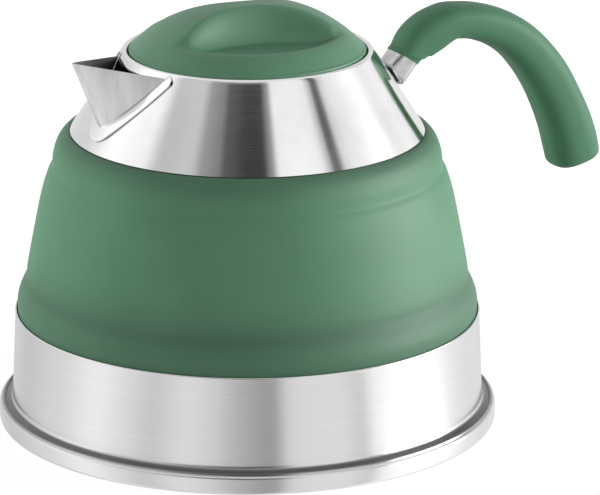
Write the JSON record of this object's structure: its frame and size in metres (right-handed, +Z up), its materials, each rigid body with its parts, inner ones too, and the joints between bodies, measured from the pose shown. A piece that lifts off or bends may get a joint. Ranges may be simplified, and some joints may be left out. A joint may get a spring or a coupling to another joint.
{
  "type": "collapsible kettle",
  "caption": "Folding camp kettle: steel base and shoulder joined by a collapsing silicone wall, folded spout, lift-off lid and swivelling handle.",
  "frame": {"origin": "centre of the flat underside, which rests on the ground", "axes": "+Z up along the kettle's axis; the handle points to +X and the spout to -X"},
  "size_m": [0.2707, 0.205, 0.1743],
  "materials": {
    "steel": "satin stainless steel",
    "polished_steel": "mirror-polished stainless steel",
    "aluminium": "plain",
    "green_silicone": "matte silicone",
    "grey_silicone": "matte silicone",
    "green_plastic": "soft-touch matte",
    "black_plastic": "matte"
  },
  "bodies": {
    "base": {"base_band": "steel", "floor_pan": "steel", "heat_spreader": "aluminium", "spreader_cover": "steel", "lower_clamp_ring": "steel", "silicone_wall": "green_silicone"},
    "shoulder": {"shoulder_cone": "polished_steel", "pour_spout": "polished_steel", "upper_clamp_ring": "steel", "handle_mount": "steel", "swivel_washer": "black_plastic", "swivel_rivet": "steel"},
    "lid": {"lid_cover": "green_plastic", "lid_inner_plate": "steel", "lid_seal": "grey_silicone", "lid_screw": "steel", "screw_seal": "grey_silicone"},
    "handle": {"handle_ferrule": "steel", "handle_tang": "steel", "handle_grip": "green_plastic"}
  },
  "joints": [
    {"name": "collapse", "type": "slide", "parent": "base", "child": "shoulder", "axis": [0, 0, 1], "range_m": [-0.06, 0], "deforming": ["silicone_wall"]},
    {"name": "lid_lift", "type": "slide", "parent": "shoulder", "child": "lid", "axis": [0, 0, 1], "range_m": [0, 0.05]},
    {"name": "handle_swivel", "type": "hinge", "parent": "shoulder", "child": "handle", "pos_m": [0.06455, 0, 0.13393], "axis": [0.8427, 0, 0.5384], "range_deg": [-90, 90]}
  ]
}
